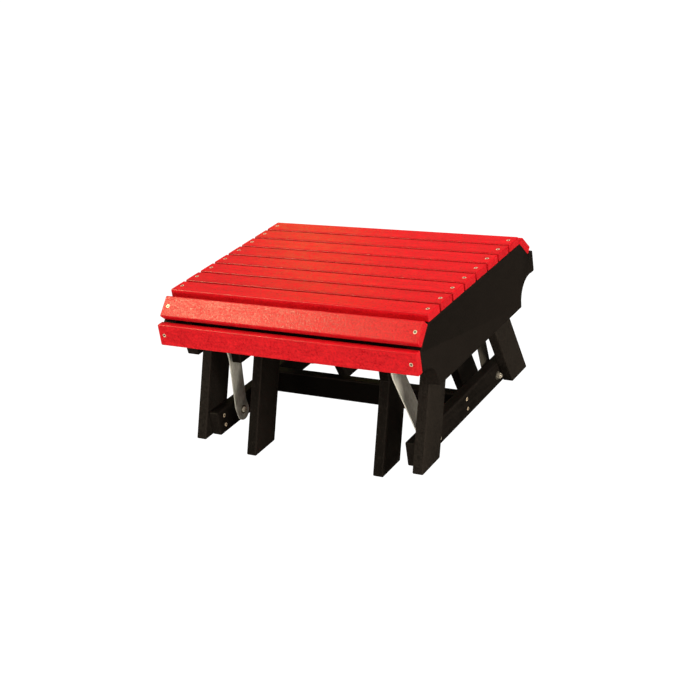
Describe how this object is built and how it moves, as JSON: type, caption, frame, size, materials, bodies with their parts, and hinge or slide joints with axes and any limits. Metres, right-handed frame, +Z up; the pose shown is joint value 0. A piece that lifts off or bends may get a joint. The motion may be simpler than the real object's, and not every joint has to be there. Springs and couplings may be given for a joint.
{
  "type": "glider ottoman",
  "caption": "Gliding foot rest: slatted plastic-lumber seat frame hung on flat metal bars inside a splayed-leg base.",
  "frame": {"origin": "on the floor, under the middle of the seat frame's box", "axes": "+X to the right along the slats, +Y to the rear, +Z up"},
  "size_m": [0.6604, 0.5878, 0.394],
  "materials": {
    "red_lumber": "solid coloured plastic lumber, fine pebbled skin",
    "black_lumber": "solid coloured plastic lumber, fine pebbled skin",
    "bar_aluminium": "mill finish flat bar, dull",
    "bush_nylon": "plain",
    "zinc_hardware": "zinc plated",
    "screw_steel": "stainless"
  },
  "bodies": {
    "base": {"base_leg_front_left": "black_lumber", "base_leg_front_right": "black_lumber", "base_leg_rear_left": "black_lumber", "base_leg_rear_right": "black_lumber", "base_leg_screws": "screw_steel", "base_rail_left": "black_lumber", "base_rail_right": "black_lumber", "cross_board_front": "black_lumber", "cross_board_rear": "black_lumber", "cross_board_screws": "screw_steel", "upper_bolt_front_left": "zinc_hardware", "upper_bolt_front_right": "zinc_hardware", "upper_bolt_rear_left": "zinc_hardware", "upper_bolt_rear_right": "zinc_hardware", "upper_nuts": "zinc_hardware", "upper_washers": "zinc_hardware"},
    "swing_bar_front_left": {"swing_bar_front_left": "bar_aluminium", "bushes_front_left": "bush_nylon"},
    "swing_bar_front_right": {"swing_bar_front_right": "bar_aluminium", "bushes_front_right": "bush_nylon"},
    "swing_bar_rear_left": {"swing_bar_rear_left": "bar_aluminium", "bushes_rear_left": "bush_nylon"},
    "swing_bar_rear_right": {"swing_bar_rear_right": "bar_aluminium", "bushes_rear_right": "bush_nylon"},
    "seat": {"front_slat_lower": "red_lumber", "front_slat_screws": "screw_steel", "front_slat_upper": "red_lumber", "lower_bolt_front_left": "zinc_hardware", "lower_bolt_front_right": "zinc_hardware", "lower_bolt_rear_left": "zinc_hardware", "lower_bolt_rear_right": "zinc_hardware", "lower_nuts": "zinc_hardware", "lower_rail_left": "black_lumber", "lower_rail_right": "black_lumber", "lower_washers": "zinc_hardware", "rail_screws": "screw_steel", "rear_board": "black_lumber", "rear_slat_screws": "screw_steel", "rear_slat_upper": "red_lumber", "seat_leg_front_left": "black_lumber", "seat_leg_front_right": "black_lumber", "seat_leg_rear_left": "black_lumber", "seat_leg_rear_right": "black_lumber", "seat_leg_screws": "screw_steel", "side_panel_left": "black_lumber", "side_panel_right": "black_lumber", "stretcher": "black_lumber", "stretcher_screws": "screw_steel", "top_slat_1": "red_lumber", "top_slat_2": "red_lumber", "top_slat_3": "red_lumber", "top_slat_4": "red_lumber", "top_slat_5": "red_lumber", "top_slat_6": "red_lumber", "top_slat_7": "red_lumber", "top_slat_8": "red_lumber", "top_slat_screws": "screw_steel"}
  },
  "joints": [
    {"name": "swing", "type": "hinge", "parent": "base", "child": "swing_bar_front_left", "pos_m": [0, -0.188, 0.245], "axis": [1, 0, 0], "range_deg": [-12, 12]},
    {"name": "front_right_bar_hinge", "type": "hinge", "parent": "base", "child": "swing_bar_front_right", "pos_m": [0, -0.188, 0.245], "axis": [1, 0, 0], "range_deg": [-12, 12]},
    {"name": "rear_left_bar_hinge", "type": "hinge", "parent": "base", "child": "swing_bar_rear_left", "pos_m": [0, 0.196, 0.245], "axis": [1, 0, 0], "range_deg": [-12, 12]},
    {"name": "rear_right_bar_hinge", "type": "hinge", "parent": "base", "child": "swing_bar_rear_right", "pos_m": [0, 0.196, 0.245], "axis": [1, 0, 0], "range_deg": [-12, 12]},
    {"name": "seat_hinge", "type": "hinge", "parent": "swing_bar_front_left", "child": "seat", "pos_m": [0, -0.156, 0.065], "axis": [1, 0, 0], "range_deg": [-14.45, 14.45]}
  ],
  "couplings": [
    {"joint": "front_right_bar_hinge", "follows": "swing", "ratio": 1},
    {"joint": "rear_left_bar_hinge", "follows": "swing", "ratio": 1},
    {"joint": "rear_right_bar_hinge", "follows": "swing", "ratio": 1},
    {"joint": "seat_hinge", "follows": "swing", "ratio": -1.2}
  ]
}
